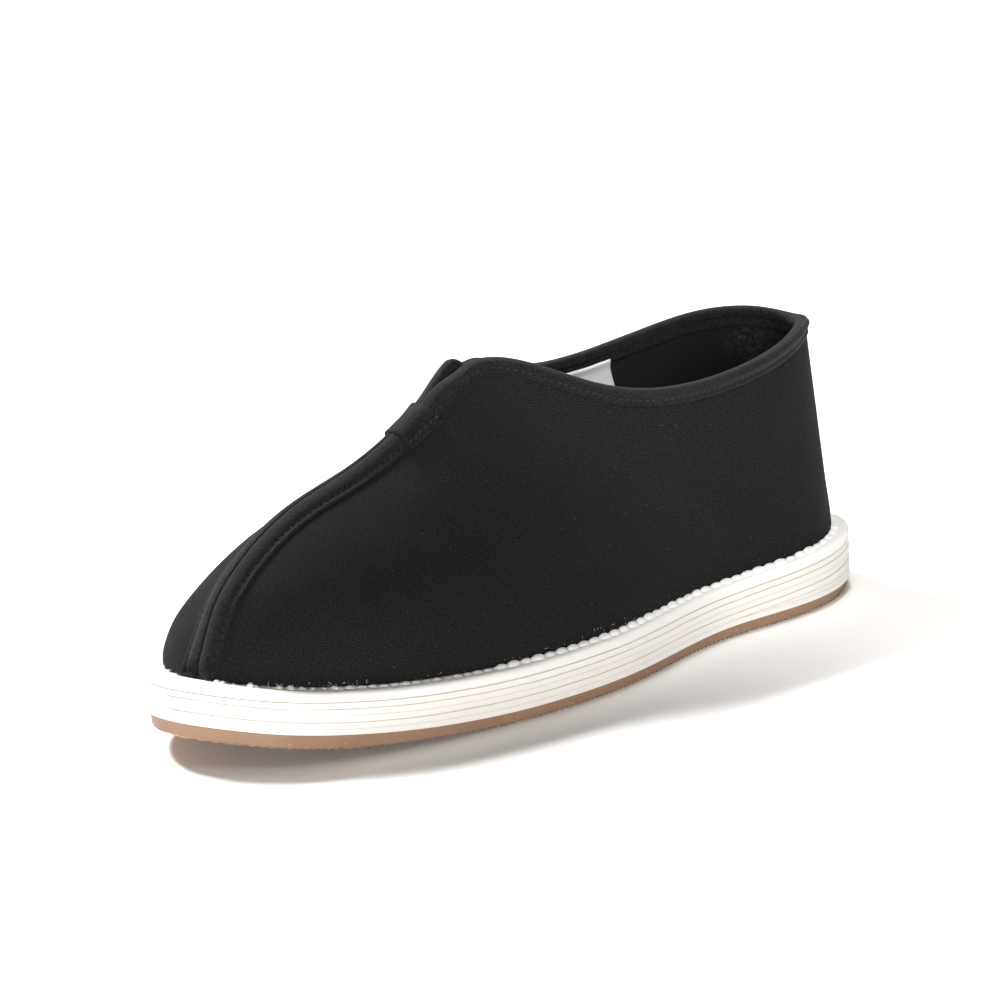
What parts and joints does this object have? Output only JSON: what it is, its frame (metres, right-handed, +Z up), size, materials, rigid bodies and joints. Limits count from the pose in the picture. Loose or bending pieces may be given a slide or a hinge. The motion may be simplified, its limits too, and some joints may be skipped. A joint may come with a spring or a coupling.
{
  "type": "chinese cloth shoe",
  "caption": "Slip-on cloth shoe with a bound centre seam, short throat slit and low collar, on a sole of thin stitched cloth layers over a rubber tread",
  "frame": {"origin": "on the floor under the middle of the sole's bounding box", "axes": "+Z up, +Y from toe to heel along the sole, +X towards the wearer's left, which is the outer side of this left shoe"},
  "size_m": [0.0996, 0.28, 0.1039],
  "materials": {
    "gum_rubber": "matt moulded rubber",
    "sole_cloth": "pasted white cotton layers, bound edges",
    "top_cotton": "white cotton wrapped over the edge",
    "insole_cloth": "grey cotton",
    "black_cotton": "black cotton twill, lined",
    "black_binding": "black cotton binding strip",
    "label_tape": "plain white woven tape"
  },
  "bodies": {
    "root": {"outsole": "gum_rubber", "sole_layer_1": "sole_cloth", "sole_layer_2": "sole_cloth", "sole_layer_3": "sole_cloth", "sole_layer_4": "sole_cloth", "sole_layer_5": "sole_cloth", "heel_lift_1": "sole_cloth", "heel_lift_2": "sole_cloth", "top_layer": "top_cotton", "insole": "insole_cloth", "upper": "black_cotton", "binding_outer_side": "black_binding", "binding_inner_side": "black_binding", "cross_tab": "black_binding", "label_patch": "label_tape"}
  },
  "joints": []
}
